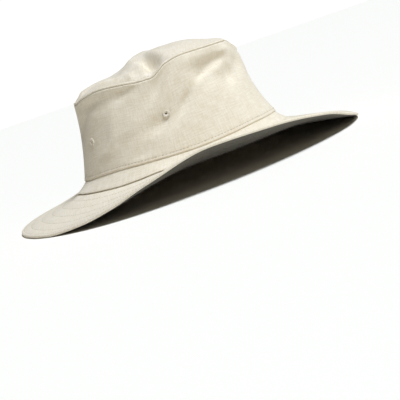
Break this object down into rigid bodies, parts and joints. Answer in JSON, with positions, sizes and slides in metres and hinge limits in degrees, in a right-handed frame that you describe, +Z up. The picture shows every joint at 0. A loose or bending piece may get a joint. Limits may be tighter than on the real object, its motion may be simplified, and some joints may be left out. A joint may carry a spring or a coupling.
{
  "type": "cricket hat",
  "caption": "Soft cotton sun hat with an oval crown fallen in behind, a plain band, small vent eyelets and a wide stitched brim that dips front and back and lifts at the sides.",
  "frame": {"origin": "on the floor under the middle of the brim", "axes": "+X to the front of the hat, along its length; +Y to the wearer's left; +Z up"},
  "size_m": [0.3518, 0.3213, 0.1281],
  "materials": {
    "crown_drill": "woven cotton drill, matt, off-white",
    "band_drill": "woven cotton drill, matt, off-white",
    "brim_drill": "woven cotton drill, matt, off-white, stitched in rows",
    "under_brim_cotton": "woven cotton, matt, very dark green",
    "eyelet_thread": "embroidery thread, soft sheen"
  },
  "bodies": {
    "root": {"crown_tip": "crown_drill", "crown_wall": "crown_drill", "hat_band": "band_drill", "brim_top": "brim_drill", "brim_under": "under_brim_cotton", "eyelet_left_side": "eyelet_thread", "eyelet_left_back": "eyelet_thread", "eyelet_right_side": "eyelet_thread", "eyelet_right_back": "eyelet_thread"}
  },
  "joints": []
}
